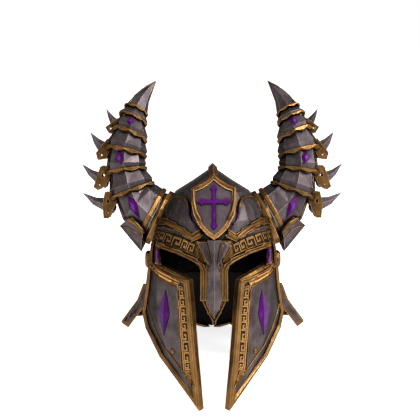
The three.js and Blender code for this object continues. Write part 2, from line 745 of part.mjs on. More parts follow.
function spikeRings([root, base, tip, high, deep, droop], grow) {
  const along = unit(less(tip, base));
  const up = unit([-along[2], 0, along[0]]);
  const across = unit(cross(along, up));
  const ring = (p, h, d) => [
    plus(p, up, h + grow), plus(p, across, d + grow), plus(p, up, -h - grow), plus(p, across, -d - grow),
  ];
  const middle = plus(mix(base, tip, 0.42), up, -droop);
  return [
    ring(root, high * 0.6, deep * 0.8),
    ring(base, high, deep),
    ring(middle, high * 0.62, deep * 0.62),
    ring(tip, 0.45, 0.45),
  ];
}

function spike(i) {
  let body = loft(spikeRings(SPIKES[i], 0));
  [i, i + 1].forEach((k) => {
    body = body.subtract(lameFull(k, GAP));
  });
  return body;
}

function hornBand(i) {
  const station = HORN[i + 2];
  const radius = station[3];
  const ring = (r, shift, wave) => hornRing(station, r, shift, BAND_SIDES, wave);
  let body = loft([
    ring(radius + 0.6, -2 * GAP, 0),
    ring(radius + BAND_REACH, -2, 0),
    ring(radius + BAND_REACH, -BAND_HEIGHT + 1, BAND_WAVE),
    ring(radius - 1, -BAND_HEIGHT - 1, BAND_WAVE),
    ring(radius - NECK_STEP - 3, -BAND_HEIGHT, 0),
    ring(radius - NECK_STEP - 3, -2 * GAP, 0),
  ], true);
  const [, base, , , deep] = SPIKES[i];
  const [outline, holes] = CLASPS[i];
  const middle = station[1] + (base[1] - station[1]) * 0.6;
  [-1, 1].forEach((sign) => {
    const near = middle + sign * (deep + 0.6);
    const far = near + sign * CLASP_WALL;
    let cheek = plank(outline, () => near, () => far);
    holes.forEach((hole) => {
      cheek = cheek.subtract(plank(hole, () => near - sign, () => far + sign));
    });
    body = body.add(cheek);
  });
  [i, i + 1].forEach((k) => {
    body = body.subtract(lameFull(k, GAP));
  });
  body = body.subtract(loft(spikeRings(SPIKES[i], GAP)));
  return largest(body);
}

// A cut stone: a shallow four-sided point on an edge that follows what is behind it
function gem(outline, seat, clearance) {
  const centre = outline.reduce((sum, p) => [sum[0] + p[0] / 4, sum[1] + p[1] / 4], [0, 0]);
  const middle = frontY(seat, ...centre);
  const depth = outline.map(([x, z]) => {
    const y = frontY(seat, centre[0] + (x - centre[0]) * 0.96, centre[1] + (z - centre[1]) * 0.96);
    return Number.isFinite(y) ? y : middle;
  });
  const back = outline.map(([x, z], i) => [x, depth[i] + 9, z]);
  const edge = outline.map(([x, z], i) => [x, depth[i] - GEM_EDGE, z]);
  const point = outline.map(([x, z]) => [
    centre[0] + (x - centre[0]) * 0.08,
    middle - GEM_HEIGHT,
    centre[1] + (z - centre[1]) * 0.08,
  ]);
  return largest(loft([back, edge, point]).subtract(clearance));
}

// Pieces

const sheet = new Map();
const STEEL = { color: 0x5b5254, roughness: 0.42, metalness: 0.85 };
const DARK_STEEL = { color: 0x443b3f, roughness: 0.5, metalness: 0.8 };
const BRONZE = { color: 0x7e5a33, roughness: 0.4, metalness: 0.9 };
const ENAMEL = { color: 0x450f50, roughness: 0.22, metalness: 0.1 };

const helmet = new THREE.Group();
helmet.name = "horned_helmet";

function put(name, body, look, slot) {
  const data = body.getMesh();
  const geometry = new THREE.BufferGeometry();
  const flat = new Float32Array(data.triVerts.length * 3);
  data.triVerts.forEach((vertex, i) => {
    for (let k = 0; k < 3; k += 1) {
      flat[i * 3 + k] = data.vertProperties[vertex * data.numProp + k];
    }
  });
  geometry.setAttribute("position", new THREE.BufferAttribute(flat, 3));
  geometry.computeVertexNormals();
  if (!sheet.has(slot)) {
    const material = new THREE.MeshStandardMaterial(look);
    material.name = slot;
    sheet.set(slot, material);
  }
  const mesh = new THREE.Mesh(geometry, sheet.get(slot));
  mesh.name = name;
  helmet.add(mesh);
}

function pair(name, body, look, slot) {
  put(`${name}_right`, body, look, slot);
  put(`${name}_left`, mirrored(body), look, slot);
}

// Crown shell with the face opening

let shell = crownSolid(0).subtract(crownSolid(-SHELL_WALL));
shell = shell.subtract(wedge(FACE));
shell = shell.subtract(wedge(FACE.map(([angle, z]) => [-angle, z])));
shell = shell.subtract(loft([-300, 300].map((x) => [
  [x, -300, SHELL_BOTTOM], [x, 300, SHELL_BOTTOM], [x, 300, -400], [x, -300, -400],
])));
put("crown_shell", largest(shell), STEEL, "steel");

// Emblem: bronze frame, steel field, enamel cross

const emblemOutline = bothSides(EMBLEM, EMBLEM_FOOT);
const emblemY = (z) => EMBLEM_Y + EMBLEM_SLOPE * (z + 29);
const emblemBack = () => -40;
let emblemRim = plank(emblemOutline, (z) => emblemY(z) - EMBLEM_RAISE, emblemBack);
emblemRim = emblemRim.subtract(plank(inset(emblemOutline, EMBLEM_RIM), () => -200, () => 0));
emblemRim = emblemRim.subtract(crownSolid(GAP));
const emblemClear = plank(inset(emblemOutline, -GAP), () => -200, () => 0);
let emblemField = plank(inset(emblemOutline, EMBLEM_RIM + GAP), emblemY, emblemBack);
emblemField = emblemField.subtract(
  plank(inset(emblemOutline, EMBLEM_RIM + GAP + 3), (z) => emblemY(z) + 3, () => 0),
);
emblemField = emblemField.subtract(crownSolid(GAP));
const crossOutline = bothSides(CROSS, CROSS_FOOT);
const crossBody = plank(
  crossOutline,
  (z) => emblemY(z) - GAP - CROSS_RAISE,
  (z) => emblemY(z) - GAP,
);

// Crest over the top of the crown

function crest() {
  const path = [
    [-80, 46], [-56, 57], [-30, 63], [3, 65], [36, 63], [62, 57], [86, 46], [103, 30], [112, 12],
    [117, -8], [119, -26], [120.5, -40],
  ];
  const rings = path.map(([y, z], i) => {
    const before = path[Math.max(i - 1, 0)];
    const after = path[Math.min(i + 1, path.length - 1)];
    const along = unit([0, after[0] - before[0], after[1] - before[1]]);
    const up = [0, -along[2], along[1]];
    const size = i === path.length - 1 ? 0.12 : 1;
    const [half, eave, top] = [CREST[0] * size, CREST[1], CREST[2] * size];
    const section = [[-half, -9], [-half, eave], [0, top], [half, eave], [half, -9]];
    return section.map(([x, h]) => plus([x, y, z], up, h));
  });
  return largest(loft(rings).subtract(crownSolid(GAP)).subtract(emblemClear));
}
put("crest_ridge", crest(), BRONZE, "bronze");
put("emblem_rim", largest(emblemRim), BRONZE, "bronze");
put("emblem_field", largest(emblemField), DARK_STEEL, "dark_steel");
put("emblem_cross", crossBody, ENAMEL, "enamel");

// Brow

const hornClear = collarFull(GAP);
const browPlate = onSkin(BROW_PLATE, GAP, GAP + 3)
  .subtract(wedge(ribbon(RIDGE_LINE, 9.4)))
  .subtract(hornClear)
  .subtract(emblemClear);

function browBand() {
  let body = onSkin(BAND, GAP, GAP + TRIM);
  body = body.add(onSkin(ribbon(RIDGE_LINE, 8.4), GAP, 6.6));
  body = body.add(onSkin(ribbon(BEAD_LINE, 2.6), GAP, 4));
  body = body.add(onSkin(ribbon(EYE_LINE, 6.2), GAP, 5.4));
  body = body.add(onSkin(ribbon(TEMPLE_LINE, 9), GAP, 5.4));
  const line = (points, t) => {
    const at = t * (points.length - 1) * 0.9999;
    const i = Math.floor(at);
    return mix(points[i], points[i + 1], at - i);
  };
  const hook = keyStrip(KEY_PATH, 20, 13, 2.1);
  for (let i = 0; i < KEY_UNITS; i += 1) {
    const place = (a, b, lift) => {
      const t = (i + 0.12 + a * 0.92) / KEY_UNITS;
      const [angle, z] = mix(line(KEY_BOTTOM, t), line(KEY_TOP, t), b * 1.02);
      return skinPoint(angle, z, lift);
    };
    body = body.add(relief(hook, place, 1.6, 3.7));
  }
  const nasalClear = wedge([[-1, -20], ...NASAL.slice(1).map(([a, z]) => [a + 0.25, z]), [-1, -136.7]]);
  body = body.subtract(nasalClear);
  body = body.subtract(hornClear).subtract(emblemClear).subtract(cheekRoom());
  return largest(body);
}

function nasal() {
  const outline = [...NASAL, ...NASAL.slice(1, -1).reverse().map(([angle, z]) => [-angle, z])];
  let body = onSkin(outline, GAP, 5);
  const keel = NASAL_KEEL.map(([z, half, side, top]) => {
    const y = crownPoint(0, z)[1];
    const eave = y - side + 1.2;
    return [[-half, y, z], [-half, eave, z], [0, y - top, z], [half, eave, z], [half, y, z]];
  });
  body = body.add(loft(keel).subtract(crownSolid(GAP)));
  const fan = [...NASAL_FAN, ...NASAL_FAN.slice(1, -1).reverse().map(([angle, z]) => [-angle, z])];
  body = body.add(onSkin(fan, GAP, 8));
  return largest(body.subtract(emblemClear));
}

pair("brow_plate", largest(browPlate), STEEL, "steel");
pair("brow_band", browBand(), BRONZE, "bronze");
put("nasal", nasal(), STEEL, "steel");

// Cheeks

const cheekBody = cheekPlate().subtract(underFloor);
pair("cheek_plate", cheekBody, STEEL, "steel");
pair("cheek_rim", cheekRim(), BRONZE, "bronze");
pair("cheek_gem", gem(CHEEK_GEM, cheekPlate(), behindCheek()), ENAMEL, "enamel");

// What lies behind the face of the cheek, with the gap
function behindCheek() {
  const lift = (k) => {
    const rows = CHEEK.map((row, r) => row.map((p, c) => plus(p, cheekNormals[r][c], k)));
    return rows;
  };
  const front = lift(GAP);
  const back = lift(-30);
  const rings = front.map((row, r) => [...row, ...[...back[r]].reverse()]);
  return loft(rings);
}

// Temple bosses

function boss() {
  const [x, y, z, radius, reach] = BOSS;
  const ring = (r, at) => {
    const points = [];
    for (let i = 0; i < 12; i += 1) {
      const angle = (i + 0.5) * 30 * deg;
      points.push([at, y + r * Math.cos(angle), z + r * Math.sin(angle)]);
    }
    return points;
  };
  const rings = [ring(radius, x - 12), ring(radius, x + 2.4), ring(radius - 3, x + reach)];
  return largest(loft(rings).subtract(crownSolid(GAP)));
}
pair("temple_boss", boss(), BRONZE, "bronze");

// Neck guard

put("neck_guard", neckGuard(), STEEL, "steel");
put("neck_rim", neckRim(), BRONZE, "bronze");

// Horns

pair("horn_collar", largest(collar()), BRONZE, "bronze");
pair("horn_skirt", skirt(), STEEL, "horn_steel");
for (let i = 0; i < 6; i += 1) {
  pair(`horn_lame_${i + 1}`, lame(i), DARK_STEEL, "horn_steel");
}
pair("horn_tip", hornTip(0), DARK_STEEL, "horn_steel");
for (let i = 0; i < 4; i += 1) {
  pair(`horn_band_${i + 1}`, hornBand(i), BRONZE, "bronze");
  pair(`horn_spike_${i + 1}`, largest(spike(i)), DARK_STEEL, "horn_steel");
}
HORN_GEMS.forEach(([on, outline], i) => {
  pair(`horn_gem_${i + 1}`, gem(outline, lameFull(on, 0), lameFull(on, GAP)), ENAMEL, "enamel");
});

// Stand the helmet on the floor, centred on its own outline

helmet.rotation.x = -REST_PITCH * deg;
helmet.updateMatrixWorld(true);
const bounds = new THREE.Box3().setFromObject(helmet, true);
helmet.position.set(
  -(bounds.min.x + bounds.max.x) / 2,
  -(bounds.min.y + bounds.max.y) / 2,
  -bounds.min.z,
);
helmet.updateMatrixWorld(true);

export default helmet;
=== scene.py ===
import math

import bpy
from bpy.props import FloatProperty, FloatVectorProperty, PointerProperty
from bpy.types import Operator, Panel, PropertyGroup
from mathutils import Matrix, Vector
from mathutils.bvhtree import BVHTree


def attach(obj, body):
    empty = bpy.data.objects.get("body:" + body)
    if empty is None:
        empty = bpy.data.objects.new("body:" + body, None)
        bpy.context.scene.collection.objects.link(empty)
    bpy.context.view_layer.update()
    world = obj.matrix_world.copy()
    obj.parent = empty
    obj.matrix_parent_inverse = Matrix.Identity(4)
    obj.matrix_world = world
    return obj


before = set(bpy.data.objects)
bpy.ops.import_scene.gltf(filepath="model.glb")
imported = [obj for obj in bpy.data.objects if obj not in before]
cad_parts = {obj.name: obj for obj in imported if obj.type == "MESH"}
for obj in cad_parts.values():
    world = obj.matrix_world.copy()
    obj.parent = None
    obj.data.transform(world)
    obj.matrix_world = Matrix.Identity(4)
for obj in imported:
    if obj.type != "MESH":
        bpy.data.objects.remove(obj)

bl_info = {
    "name": "Horned Helmet",
    "version": (1, 0, 0),
    "blender": (4, 5, 0),
    "location": "3D View > Sidebar > Helmet",
    "description": "Dresses a horned helmet in burnished steel, bronze and purple enamel",
    "category": "Object",
}

MM = 0.001

# The helmet's own upright axes stand in the row frame pitched back by PITCH degrees,
# with their zero at STAND millimetres. Sizes below are in those upright axes.
PITCH = math.radians(11.5)
STAND = Vector((0.0, 27.18, 234.01))

# The photograph: 420 px square, focal length in px, turn and height of the view in
# degrees, distance from the helmet's zero and sideways shift in mm
PHOTO_SIDE = 420
PHOTO_FOCAL = 666.0
PHOTO_TURN = math.radians(-0.65)
PHOTO_RISE = math.radians(4.0)
PHOTO_AWAY = 1000.0
PHOTO_SHIFT = 3.96
# How far the helmet's face stands in front of its zero, in mm
FACE_REACH = 90.0

# Trim: pixels of the photograph from one section of a moulding to the next, and how often
# the directions along it are averaged
TRIM_STEP = 1.6
EVEN_ROUNDS = 3

# Edges sharper than EDGE_ANGLE are broken. Angles under ROUND_ANGLE are shaded round.
EDGE_ANGLE = math.radians(34)
ROUND_ANGLE = math.radians(24)

# Horn stations in mm and degrees: x, y, z, radius, tilt in the front view, lean to the back
HORN = (
    (88, 5, -7.7, 40.6, 64.3, 0),
    (109.6, 6, 12, 36.6, 45, 2),
    (121.3, 7, 32.7, 33.1, 20.5, 3),
    (129.6, 9, 62.9, 29.1, 7.4, 5),
    (129.5, 12, 91, 30.5, -13.4, 8),
    (123.3, 17, 116.7, 26.5, -24.1, 12),
    (119.8, 22, 138.5, 21.8, -24, 15),
    (115.3, 26, 151.8, 18.1, -24, 17),
    (106.6, 33, 170, 11.6, -30, 19),
    (96.4, 39.5, 185.4, 6.8, -36, 20),
)
# Sides of the rim at a horn's root and of the thin wavy rings
HORN_SIDES = 8
RING_SIDES = 16

# Slot and material of each finish that trim is made in
BRONZE = ("bronze", "aged bronze")
DARK_BRONZE = ("bronze", "blackened bronze")
STEEL = ("steel", "burnished steel")
SHEET_STEEL = ("steel", "burnished sheet steel")
SHADE_STEEL = ("steel", "oil-blackened steel")
# Dark steel laid as painted shade
ENAMEL = ("enamel", "fired glass enamel")
SMOKED_ENAMEL = ("enamel", "smoked glass enamel")
# Paler enamel laid as a painted highlight
HIGHLIGHT_ENAMEL = ("enamel", "pale glass enamel")

# Each solid's finish, by how its name starts: material, width of its broken edges in mm
# (None takes the sidebar's), and whether its shallow angles are shaded round
FINISHES = (
    ("crown_shell", "burnished steel", None, True),
    ("neck_guard", "burnished sheet steel", 0, True),
    ("brow_plate", "burnished steel", None, True),
    ("cheek_plate", "burnished steel", None, True),
    ("emblem_field", "oil-blackened steel", None, False),
    ("emblem_cross", "fired glass enamel", 0.15, False),
    ("cheek_gem", "fired glass enamel", 0.15, False),
    ("horn_gem", "fired glass enamel", 0.15, False),
    ("horn_lame", "fire-blackened steel", 0.9, False),
    ("horn_tip", "fire-blackened steel", 0.9, False),
    ("horn_spike", "fire-blackened steel", None, False),
    ("horn_skirt", "fire-blackened steel", None, False),
    ("brow_band", "aged bronze", 0.25, True),
    ("crest_ridge", "aged bronze", None, True),
    ("neck_rim", "aged bronze", None, True),
)
# The finish of the solids that FINISHES doesn't list
OTHERS = ("aged bronze", None, False)


def linear(colour):
    """The scene's linear red, green, blue and alpha of an sRGB hex colour."""
    parts = [int(colour[i : i + 2], 16) / 255 for i in (1, 3, 5)]
    light = [c / 12.92 if c <= 0.04045 else ((c + 0.055) / 1.055) ** 2.4 for c in parts]
    return (*light, 1.0)


# ---- Places on the helmet


def turned(v):
    """A direction in the helmet's upright axes, in the row frame."""
    c, s = math.cos(PITCH), math.sin(PITCH)
    return Vector((v[0], v[1] * c + v[2] * s, -v[1] * s + v[2] * c))


def placed(p):
    """A point in the helmet's upright axes, in mm, as a row frame point in metres."""
    return (turned(p) + STAND) * MM


def photo_eye():
    """The photograph's viewpoint, and its right, up and back directions, upright axes."""
    turn = Vector((math.cos(PHOTO_TURN), math.sin(PHOTO_TURN), 0))
    back = Vector((
        math.sin(PHOTO_TURN) * math.cos(PHOTO_RISE),
        -math.cos(PHOTO_TURN) * math.cos(PHOTO_RISE),
        math.sin(PHOTO_RISE),
    ))
    return back * PHOTO_AWAY - turn * PHOTO_SHIFT, turn, back.cross(turn), back


CARRIERS = {}


def carrier(*nodes):
    """The surface of some of the frame's solids, to set trim on."""
    if nodes not in CARRIERS:
        points, faces = [], []
        for name in nodes:
            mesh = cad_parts[name].data
            start = len(points)
            points += [v.co.copy() for v in mesh.vertices]
            faces += [[start + i for i in f.vertices] for f in mesh.polygons]
        CARRIERS[nodes] = BVHTree.FromPolygons(points, faces)
    return CARRIERS[nodes]


def seen(px, py, surface):
    """Where the photograph's point px, py lies on or nearest to a surface, and its normal."""
    eye, right, up, back = photo_eye()
    ray = right * (px - PHOTO_SIDE / 2) + up * (PHOTO_SIDE / 2 - py) - back * PHOTO_FOCAL
    start, way = placed(eye), turned(ray.normalized())
    point, normal = surface.ray_cast(start, way)[:2]
    if point is None:
        point, normal = surface.find_nearest(start + way * (PHOTO_AWAY - FACE_REACH) * MM)[:2]
    return point, (-normal if normal.dot(way) > 0 else normal)


def along(path, step):
    """A line of points with more points between them, so that none is further than step."""
    out = []
    for a, b in zip(path, path[1:]):
        count = max(1, math.ceil((Vector(b) - Vector(a)).length / step))
        out += [Vector(a).lerp(Vector(b), i / count) for i in range(count)]
    return out + [Vector(path[-1])]


def between(path, share):
    """The point a given share of the way along a line of points, counted by its parts."""
    place = share * (len(path) - 1)
    i = min(int(place), len(path) - 2)
    return Vector(path[i]).lerp(Vector(path[i + 1]), place - i)


def even(vectors):
    """Directions averaged with their neighbours, so that trim doesn't kink on a facet."""
    for _ in range(EVEN_ROUNDS):
        last = len(vectors) - 1
        vectors = [
            (vectors[max(i - 1, 0)] + v * 2 + vectors[min(i + 1, last)]).normalized()
            for i, v in enumerate(vectors)
        ]
    return vectors


def horn_axes(station):
    """Centre of a horn station and its directions along the horn, inward and to the front."""
    x, y, z, _, tilt, lean = station
    s, c = math.sin(math.radians(tilt)), math.cos(math.radians(tilt))
    sl, cl = math.sin(math.radians(lean)), math.cos(math.radians(lean))
    axis, inner = Vector((s * cl, sl, c * cl)), Vector((-c, 0, s))
    return Vector((x, y, z)), axis, inner, inner.cross(axis).normalized()


def horn_ring(station, radius, shift, sides, wave=0.0):
    """Points round the horn at a station, each placed in the row frame."""
    centre, axis, inner, front = horn_axes(station)
    ring = []
    for i in range(sides):
        turn = 2 * math.pi * i / sides
        rise = shift + (wave if i % 2 == 0 else -wave)
        spoke = inner * math.cos(turn) + front * math.sin(turn)
        ring.append(placed(centre + spoke * radius + axis * rise))
    return ring


# ---- Making pieces


def piece(name, points, faces, slot, material, smooth=True):
    """A mesh that rides on the helmet and takes its finish from its material; slot is not used."""
    mesh = bpy.data.meshes.new(name)
    mesh.from_pydata(points, [], faces)
    mesh.update()
    for face in mesh.polygons:
        face.use_smooth = smooth
    mesh.materials.append(bpy.data.materials[material])
    made = bpy.data.objects.new(name, mesh)
    bpy.context.scene.collection.objects.link(made)
    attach(made, "root")


def mirrored(points, faces):
    """The mirror image of points and faces, on the helmet's other side."""
    return [Vector((-p.x, p.y, p.z)) for p in points], [f[::-1] for f in faces]


def pair(name, points, faces, slot, material, smooth=True):
    """The piece on the left of the helmet and its mirror image on the right."""
    piece(f"{name}_left", points, faces, slot, material, smooth)
    piece(f"{name}_right", *mirrored(points, faces), slot, material, smooth)


def skinned(rings, closed=False, caps=True):
    """The points of a row of rings of equal length, and the faces over them."""
    n, faces = len(rings[0]), []
    last = len(rings) if closed else len(rings) - 1
    for r in range(last):
        a, b = r * n, ((r + 1) % len(rings)) * n
        faces += [[a + i, a + (i + 1) % n, b + (i + 1) % n, b + i] for i in range(n)]
    if caps and not closed:
        faces.append(list(range(n))[::-1])
        faces.append([last * n + i for i in range(n)])
    return [p for ring in rings for p in ring], faces


# Sections of mouldings as across, up, in millimetres. foot is how deep they reach into what
# they lie on.


def half_round(width, height, foot=1.2):
    """A half round moulding's section."""
    w, h = width / 2, height
    return ((-w, -foot), (-w, h * 0.3), (-w * 0.6, h * 0.82), (0, h), (w * 0.6, h * 0.82),
            (w, h * 0.3), (w, -foot))


def roof(width, height, foot=1.2):
    """A sharp ridged moulding's section."""
    return ((-width / 2, -foot), (-width / 2, 0.2), (0, height), (width / 2, 0.2),
            (width / 2, -foot))


def flat_strip(width, height, foot=1.0):
    """A flat inlay's section."""
    return ((-width / 2, -foot), (-width / 2, height), (width / 2, height), (width / 2, -foot))


def laid(points, normals, section):
    """A moulding of a given section laid along points on a surface."""
    rings, last = [], len(points) - 1
    for i, (p, up) in enumerate(zip(points, normals)):
        way = (points[min(i + 1, last)] - points[max(i - 1, 0)]).normalized()
        across = way.cross(up).normalized()
        lift = across.cross(way).normalized()
        rings.append([p + (across * a + lift * b) * MM for a, b in section])
    return skinned(rings)


def trim(name, nodes, path, section, slot, material):
    """A pair of mouldings that follow a line of the photograph over some solids."""
    surface = carrier(*nodes)
    hits = [seen(*place, surface) for place in along(path, TRIM_STEP)]
    points = [point for point, _ in hits]
    normals = even([normal for _, normal in hits])
    pair(name, *laid(points, normals, section), slot, material)


def plated(name, nodes, first, second, lift, slot, material, rows=8, columns=3):
    """A pair of plates lift mm high that fill the strip between two lines of the photograph."""
    surface = carrier(*nodes)
    rings = []
    for r in range(rows + 1):
        a, b = (between(line, r / rows) for line in (first, second))
        hits = [seen(*a.lerp(b, c / columns), surface) for c in range(columns + 1)]
        top = [point + normal * lift * MM for point, normal in hits]
        foot = [point - normal * MM for point, normal in (hits[0], hits[-1])]
        rings.append([foot[0], *top, foot[1]])
    pair(name, *skinned(rings), slot, material, smooth=False)


def dome(centre, up, radius, height, sides=12, steps=4, foot=1.5):
    """A rivet head: a low dome on a surface, with its foot in it, in millimetres."""
    side = up.orthogonal().normalized()
    other = up.cross(side)
    rings = []
    for r in range(steps):
        t = math.pi / 2 * r / steps
        reach, rise = radius * math.cos(t), height * math.sin(t)
        rings.append([
            centre + (side * math.cos(a) * reach + other * math.sin(a) * reach + up * rise) * MM
            for a in (2 * math.pi * i / sides for i in range(sides))
        ])
    base = [p - up * foot * MM for p in rings[0]]
    points, faces = skinned([base, *rings], caps=False)
    top, last = len(points), len(rings) * sides
    points.append(centre + up * height * MM)
    faces += [[last + i, last + (i + 1) % sides, top] for i in range(sides)]
    return points, faces


def joined(parts):
    """Several lists of points and faces as one."""
    points, faces = [], []
    for ps, fs in parts:
        faces += [[len(points) + i for i in f] for f in fs]
        points += ps
    return points, faces


# ---- Finishes


def node(tree, kind, inputs=None, **settings):
    """A node with its settings, and its inputs set to a value or linked from a socket."""
    made = tree.nodes.new(kind)
    for key, value in settings.items():
        setattr(made, key, value)
    for key, value in (inputs or {}).items():
        if isinstance(value, bpy.types.NodeSocket):
            tree.links.new(value, made.inputs[key])
        else:
            made.inputs[key].default_value = value
    return made


def fresh(name):
    """A material with an empty node tree."""
    made = bpy.data.materials.new(name)
    made.use_nodes = True
    made.node_tree.nodes.clear()
    return made


def worn_metal(name, base, cloud, wear_highlight, shade_colour, rough, sheen, inner_shade=False, groove=0.0014,
               edge=0.0014):
    """A hand-worked metal: clouded colour, hammer dents, painted shade in the joints and grooves,
    edges rubbed bright with a painted highlight.

    base and cloud are linear colours of the metal. The next two, also linear, are the colour of
    the rubbed edges with their painted highlight and the colour of the painted shade. rough is
    the roughness of the rubbed and of the dull places. sheen is how metallic the surface is.
    The flag after it paints near-black shade on the side that faces the middle of the helmet.
    groove is how far the painted shade in the finest grooves reaches and edge how wide an edge
    is rubbed and highlighted, in metres.
    """
    tree = fresh(name).node_tree
    at = node(tree, "ShaderNodeTexCoord").outputs["Object"]
    # Clouds of colour from the fire, about 28 mm across
    clouds = node(tree, "ShaderNodeTexNoise", {"Vector": at, "Scale": 36.0, "Detail": 5.0,
                                               "Roughness": 0.62}).outputs["Fac"]
    # Polishing strokes 1.6 mm wide and 14 mm long, coarser than real ones so that they show
    lay = node(tree, "ShaderNodeMapping", {"Vector": at, "Scale": (620.0, 210.0, 70.0),
                                           "Rotation": (0.35, 0.5, 0.2)}).outputs["Vector"]
    strokes = node(tree, "ShaderNodeTexNoise", {"Vector": lay, "Scale": 1.0, "Detail": 3.0,
                                                "Roughness": 0.6}).outputs["Fac"]
    # Hammer dents, 7 mm across
    dents = node(tree, "ShaderNodeTexVoronoi", {"Vector": at, "Scale": 140.0},
                 feature="SMOOTH_F1").outputs["Distance"]
    patch = node(tree, "ShaderNodeMapRange", {"Value": clouds, "From Min": 0.36, "From Max": 0.66})
    tone = node(tree, "ShaderNodeMix", {"Factor": patch.outputs["Result"], "A": base, "B": cloud},
                data_type="RGBA")
    grain = node(tree, "ShaderNodeMapRange", {"Value": strokes, "From Min": 0.3, "From Max": 0.75,
                                              "To Min": 0.8, "To Max": 1.22})
    grained = node(tree, "ShaderNodeVectorMath", {0: tone.outputs["Result"],
                                                  "Scale": grain.outputs["Result"]},
                   operation="SCALE")
    # Edges rubbed bright and given a painted highlight, more in some places than in others
    face = node(tree, "ShaderNodeNewGeometry").outputs["Normal"]
    round_edge = node(tree, "ShaderNodeBevel", {"Radius": edge}, samples=6).outputs["Normal"]
    flat = node(tree, "ShaderNodeVectorMath", {0: face, 1: round_edge}, operation="DOT_PRODUCT")
    worn_lit_edge = node(tree, "ShaderNodeMapRange", {"Value": flat.outputs["Value"], "From Min": 0.985,
                                             "From Max": 0.86})
    wear_highlight_mask = node(tree, "ShaderNodeMath", {0: worn_lit_edge.outputs["Result"], 1: grain.outputs["Result"]},
                  operation="MULTIPLY", use_clamp=True)
    wear_highlighted = node(tree, "ShaderNodeMix", {"Factor": wear_highlight_mask.outputs["Value"],
                                         "A": grained.outputs["Vector"], "B": wear_highlight},
                 data_type="RGBA")
    # Painted shade in the joints, within 9 mm of a wall
    open_air = node(tree, "ShaderNodeAmbientOcclusion", {"Distance": 0.009}, samples=8)
    unshaded_share = node(tree, "ShaderNodeMapRange", {"Value": open_air.outputs["AO"], "From Min": 0.25,
                                              "From Max": 0.92})
    joint_shaded = node(tree, "ShaderNodeMix", {"Factor": unshaded_share.outputs["Result"], "A": shade_colour,
                                          "B": wear_highlighted.outputs["Result"]}, data_type="RGBA")
    # Painted shade in the fine grooves of the relief
    relief_air = node(tree, "ShaderNodeAmbientOcclusion", {"Distance": groove}, samples=8)
    groove_unshaded = node(tree, "ShaderNodeMapRange", {"Value": relief_air.outputs["AO"], "From Min": 0.62,
                                              "From Max": 0.97})
    groove_shaded = node(tree, "ShaderNodeMix", {"Factor": groove_unshaded.outputs["Result"], "A": shade_colour,
                                       "B": joint_shaded.outputs["Result"]}, data_type="RGBA")
    colour = groove_shaded.outputs["Result"]
    if inner_shade:
        # Painted shade, nearly black, on the side that faces the middle of the head space
        middle = tuple(placed((0, -8, -40)))
        out = node(tree, "ShaderNodeVectorMath", {0: at, 1: middle}, operation="SUBTRACT")
        facing = node(tree, "ShaderNodeVectorMath", {0: out.outputs["Vector"], 1: face},
                      operation="DOT_PRODUCT")
        inner_shade_mask = node(tree, "ShaderNodeMath", {0: facing.outputs["Value"], 1: 0.0},
                      operation="LESS_THAN")
        colour = node(tree, "ShaderNodeMix", {"Factor": inner_shade_mask.outputs["Value"], "A": colour,
                                              "B": linear("#0d0b0c")},
                      data_type="RGBA").outputs["Result"]
    gloss = node(tree, "ShaderNodeMapRange", {"Value": strokes, "From Min": 0.3, "From Max": 0.7,
                                              "To Min": rough[0], "To Max": rough[1]})
    height = node(tree, "ShaderNodeMath", {0: dents, 1: strokes}, operation="ADD")
    bump = node(tree, "ShaderNodeBump", {"Height": height.outputs["Value"], "Strength": 0.15,
                                         "Distance": 0.0008})
    # The tint holds the glare at grazing angles down, as a worn skin of oxide does
    skin = node(tree, "ShaderNodeBsdfPrincipled", {
        "Base Color": colour, "Metallic": sheen, "Roughness": gloss.outputs["Result"],
        "Specular Tint": linear("#6e665f"), "Normal": bump.outputs["Normal"]})
    node(tree, "ShaderNodeOutputMaterial", {"Surface": skin.outputs["BSDF"]})


def glass_enamel(name, deep, pale):
    """Glass fired on metal: deep and pale colour in clouds, a soft gloss and a faint ripple."""
    tree = fresh(name).node_tree
    at = node(tree, "ShaderNodeTexCoord").outputs["Object"]
    # Clouding in the glass, about 12 mm across
    clouds = node(tree, "ShaderNodeTexNoise", {"Vector": at, "Scale": 80.0, "Detail": 3.0})
    patch = node(tree, "ShaderNodeMapRange", {"Value": clouds.outputs["Fac"], "From Min": 0.38,
                                              "From Max": 0.66})
    tone = node(tree, "ShaderNodeMix", {"Factor": patch.outputs["Result"], "A": deep, "B": pale},
                data_type="RGBA")
    # Ripple left by firing, 3 mm across
    ripple = node(tree, "ShaderNodeTexNoise", {"Vector": at, "Scale": 330.0, "Detail": 1.0})
    bump = node(tree, "ShaderNodeBump", {"Height": ripple.outputs["Fac"], "Strength": 0.12,
                                         "Distance": 0.0004})
    gloss = node(tree, "ShaderNodeMapRange", {"Value": clouds.outputs["Fac"], "To Min": 0.3,
                                              "To Max": 0.46})
    skin = node(tree, "ShaderNodeBsdfPrincipled", {
        "Base Color": tone.outputs["Result"], "Roughness": gloss.outputs["Result"],
        "Specular IOR Level": 0.05, "Normal": bump.outputs["Normal"]})
    node(tree, "ShaderNodeOutputMaterial", {"Surface": skin.outputs["BSDF"]})


